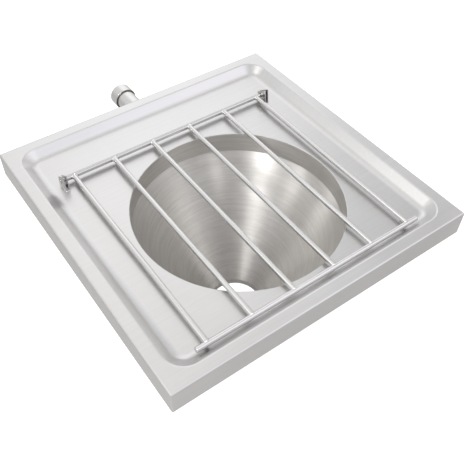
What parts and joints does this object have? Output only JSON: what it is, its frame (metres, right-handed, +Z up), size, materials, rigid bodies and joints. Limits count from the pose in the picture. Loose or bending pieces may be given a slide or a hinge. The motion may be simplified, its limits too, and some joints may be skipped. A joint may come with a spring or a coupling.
{
  "type": "slop hopper with hinged grate",
  "caption": "Square stainless steel drain deck with a recessed tray, a flushed funnel bowl, a rear water inlet with a round threaded socket, and a hinged bar grate over the round opening.",
  "frame": {"origin": "centre of the open lower end of the outlet spigot, on the axis of the funnel", "axes": "+Z up along the funnel's axis; the grate's hinge and the water inlet are at the +Y side; X is across, along the hinge line"},
  "size_m": [0.5, 0.573, 0.277],
  "materials": {
    "satin_steel": "satin brushed stainless sheet",
    "funnel_steel": "spun stainless, fine rings round the axis",
    "bright_bar": "drawn stainless bar, satin, brushed along its length",
    "machined_steel": "turned stainless",
    "grey_rubber": "matt grey rubber"
  },
  "bodies": {
    "basin": {"deck": "satin_steel", "flushing_collar": "funnel_steel", "funnel": "funnel_steel", "outlet_spigot": "satin_steel", "inlet_pipe": "satin_steel", "inlet_socket": "machined_steel", "hinge_bracket_left": "bright_bar", "hinge_bracket_right": "bright_bar"},
    "grate": {"hinge_bar": "bright_bar", "front_bar": "bright_bar", "long_bar_1": "bright_bar", "long_bar_2": "bright_bar", "long_bar_3": "bright_bar", "long_bar_4": "bright_bar", "long_bar_5": "bright_bar", "long_bar_6": "bright_bar", "foot_stud_left": "bright_bar", "foot_stud_right": "bright_bar", "buffer_left": "grey_rubber", "buffer_right": "grey_rubber"}
  },
  "joints": [
    {"name": "grate_hinge", "type": "hinge", "parent": "basin", "child": "grate", "pos_m": [-0.002, 0.1835, 0.2595], "axis": [-1, 0, 0], "range_deg": [0, 105]}
  ]
}
